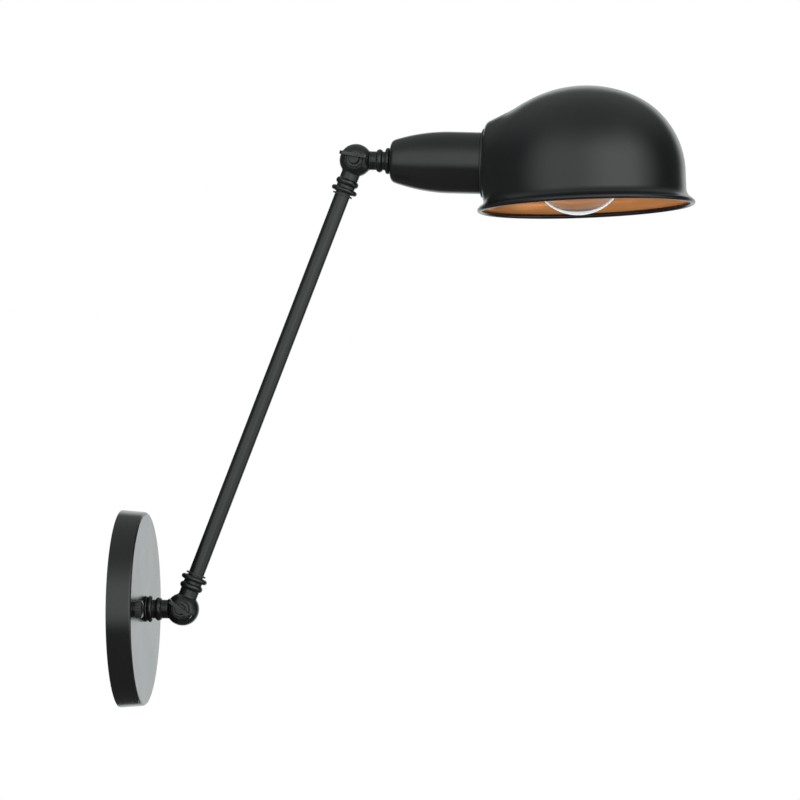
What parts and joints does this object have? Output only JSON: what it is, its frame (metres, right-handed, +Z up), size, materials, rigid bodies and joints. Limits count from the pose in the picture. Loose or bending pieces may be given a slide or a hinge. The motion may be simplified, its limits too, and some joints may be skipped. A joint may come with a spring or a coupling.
{
  "type": "swing arm wall lamp",
  "caption": "Wall lamp with a round wall plate, a straight arm between ball knuckles with wing screws, a bullet cup and a dome shade with a clear bulb.",
  "frame": {"origin": "centre of the wall plate's back, on the wall's face, midway between the wall screws", "axes": "+X out of the wall, +Z up, +Y to the right of someone who faces the wall"},
  "size_m": [0.3471, 0.1318, 0.3779],
  "materials": {
    "black_paint": "satin black paint",
    "shade_paint": "satin black paint outside, copper colour inside",
    "zinc_steel": "zinc plated",
    "brass": "plain",
    "thread_metal": "pressed, bright",
    "block_plastic": "moulded",
    "holder_plastic": "moulded, black",
    "lead_sleeve": "smooth sleeve",
    "clear_glass": "clear",
    "black_glass": "moulded black glass",
    "solder": "soldered",
    "filament_metal": "drawn wire"
  },
  "bodies": {
    "wall": {"wall_plate": "black_paint", "crossbar": "zinc_steel", "canopy_studs": "zinc_steel", "canopy_nuts": "black_paint", "terminal_block": "block_plastic", "terminal_screws": "brass", "block_screw": "brass", "earth_screw": "brass", "earth_washer": "zinc_steel", "supply_leads": "lead_sleeve"},
    "stem": {"stem_knuckle": "black_paint", "stem_flange": "black_paint", "stem_nipple": "zinc_steel", "stem_washer": "zinc_steel", "stem_nut": "zinc_steel"},
    "arm": {"arm_lower_knuckle": "black_paint", "arm_upper_knuckle": "black_paint", "arm_lower_collar": "black_paint", "arm_upper_collar": "black_paint", "arm_tube": "black_paint", "arm_leads": "lead_sleeve", "lower_friction_washer": "brass", "upper_friction_washer": "brass"},
    "lower_wing": {"lower_wing_screw": "black_paint"},
    "upper_wing": {"upper_wing_screw": "black_paint"},
    "head": {"head_knuckle": "black_paint", "head_nipple": "zinc_steel", "cup_nut": "zinc_steel", "socket_cup": "black_paint", "holder_cap": "holder_plastic", "holder_core": "holder_plastic", "holder_skirt": "holder_plastic", "holder_thread": "thread_metal", "holder_contact": "brass", "holder_terminals": "brass", "holder_screws": "brass", "shade_ring": "black_paint", "shade": "shade_paint", "ring_nut": "holder_plastic", "bulb_glass": "clear_glass", "bulb_cap": "thread_metal", "bulb_insulator": "black_glass", "bulb_contact": "solder", "bulb_mount": "clear_glass", "bulb_wires": "filament_metal", "bulb_filament": "filament_metal", "head_leads": "lead_sleeve"}
  },
  "joints": [
    {"name": "stem_swivel", "type": "hinge", "parent": "wall", "child": "stem", "pos_m": [0, 0, 0], "axis": [1, 0, 0], "range_deg": [-90, 90]},
    {"name": "arm_hinge", "type": "hinge", "parent": "stem", "child": "arm", "pos_m": [0.0373, 0, 0], "axis": [0, 1, 0], "range_deg": [-20.8, 159.2]},
    {"name": "head_hinge", "type": "hinge", "parent": "arm", "child": "head", "pos_m": [0.1411, 0, 0.27325], "axis": [0, 1, 0], "range_deg": [-178.7, 37.3]},
    {"name": "lower_wing_turn", "type": "hinge", "parent": "stem", "child": "lower_wing", "pos_m": [0.0373, 0, 0], "axis": [0, 1, 0], "range_deg": [-360, 0]},
    {"name": "upper_wing_turn", "type": "hinge", "parent": "head", "child": "upper_wing", "pos_m": [0.1411, 0, 0.27325], "axis": [0, 1, 0], "range_deg": [-360, 0]}
  ]
}
